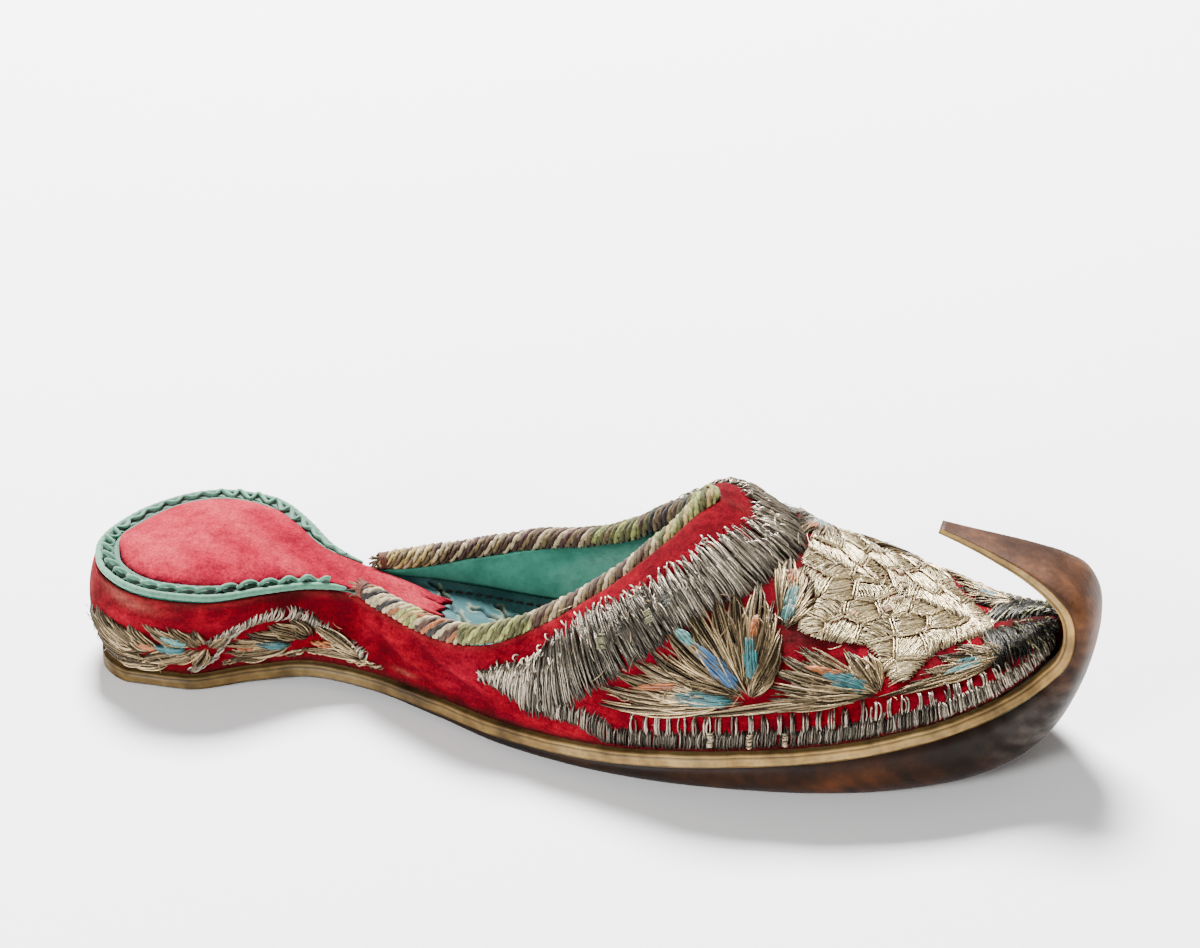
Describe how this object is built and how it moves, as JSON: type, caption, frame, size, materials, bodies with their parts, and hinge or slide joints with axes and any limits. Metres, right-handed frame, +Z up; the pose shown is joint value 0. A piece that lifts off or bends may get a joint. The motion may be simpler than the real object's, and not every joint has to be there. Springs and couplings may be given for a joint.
{
  "type": "shoe",
  "caption": "Low backless slip-on with an upturned toe curling back into a beak, domed heel cushion, open collar and hollow embroidered upper on a leather sole.",
  "frame": {"origin": "middle of the bounding box, on the ground", "axes": "+X towards the toe, +Z up, the middle plane of the straight shoe is y = 0"},
  "size_m": [0.2418, 0.0844, 0.0587],
  "materials": {
    "sole_leather": "vegetable tanned, waxed, scuffed at the prow",
    "velvet": "crimson cotton velvet with metal thread embroidery",
    "heel_filling": "stacked and pasted leather, hidden",
    "sock_leather": "teal dyed sheepskin, worn",
    "pad_velvet": "faded red velvet over stuffing",
    "braided_cord": "braided cotton and silk, cream, olive and brown",
    "green_piping": "green piping",
    "green_ribbon": "green gathered ribbon"
  },
  "bodies": {
    "root": {"outsole": "sole_leather", "upper": "velvet", "heel_block": "heel_filling", "insole": "sock_leather", "heel_pad": "pad_velvet", "collar_cord": "braided_cord", "heel_piping_lower": "green_piping", "heel_piping_upper": "green_piping", "heel_frill": "green_ribbon"}
  },
  "joints": []
}
